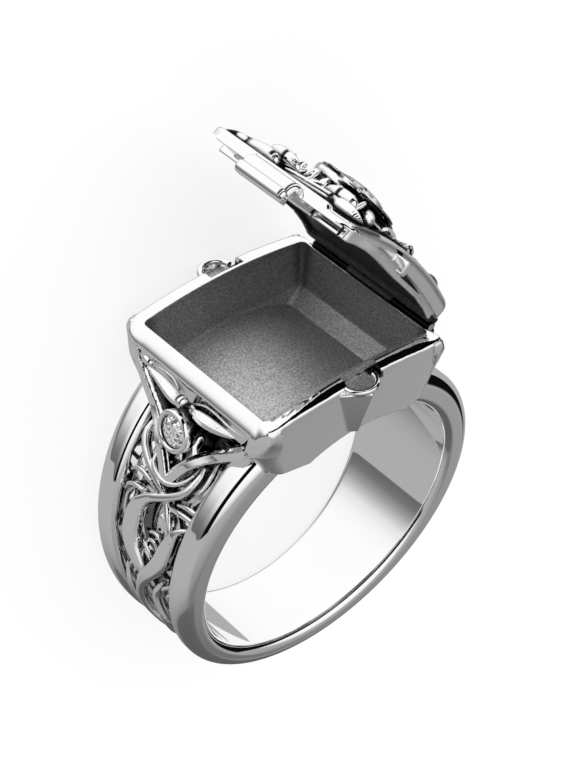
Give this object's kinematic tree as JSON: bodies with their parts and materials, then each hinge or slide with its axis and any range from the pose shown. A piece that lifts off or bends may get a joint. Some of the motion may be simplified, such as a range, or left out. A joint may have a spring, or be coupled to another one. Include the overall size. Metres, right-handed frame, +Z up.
{
  "type": "lidded compartment ring",
  "caption": "Wide closed finger ring with vine filigree shoulders, bezel-set stones and a square lidded compartment whose ornate lid stands open on a hinge",
  "frame": {"origin": "middle of the resting footprint's bounding box, on the surface the ring lies on", "axes": "+Z up as the ring lies on its side; +Y from the band's bottom toward the case and lid; +X from the catch side toward the hinge side"},
  "size_m": [0.024, 0.0384, 0.0164],
  "materials": {
    "polished_silver": "mirror polished silver",
    "polished_silver_case": "mirror polished outside, grainy blasted inside",
    "silver_filigree": "polished, darker in the recesses",
    "polished_silver_bezel": "mirror polished silver",
    "clear_stone": "faceted, clear",
    "polished_silver_petals": "mirror polished silver",
    "steel_pin": "drawn wire",
    "polished_silver_lid": "mirror polished outside, dark grainy inside",
    "silver_relief": "polished relief, darker in the recesses"
  },
  "bodies": {
    "ring": {"shank": "polished_silver", "case": "polished_silver_case", "filigree_left": "silver_filigree", "filigree_right": "silver_filigree", "bezel_left": "polished_silver_bezel", "bezel_right": "polished_silver_bezel", "stone_left": "clear_stone", "stone_right": "clear_stone", "petals_left": "polished_silver_petals", "petals_right": "polished_silver_petals", "hinge_pin": "steel_pin"},
    "lid": {"lid": "polished_silver_lid", "lid_ornament": "silver_relief", "catch": "polished_silver_lid"}
  },
  "joints": [
    {"name": "lid_hinge", "type": "hinge", "parent": "ring", "child": "lid", "pos_m": [0.00704, 0.00576, 0.00773], "axis": [-0.0146, 0.1935, -0.981], "range_deg": [-56, 40]}
  ]
}
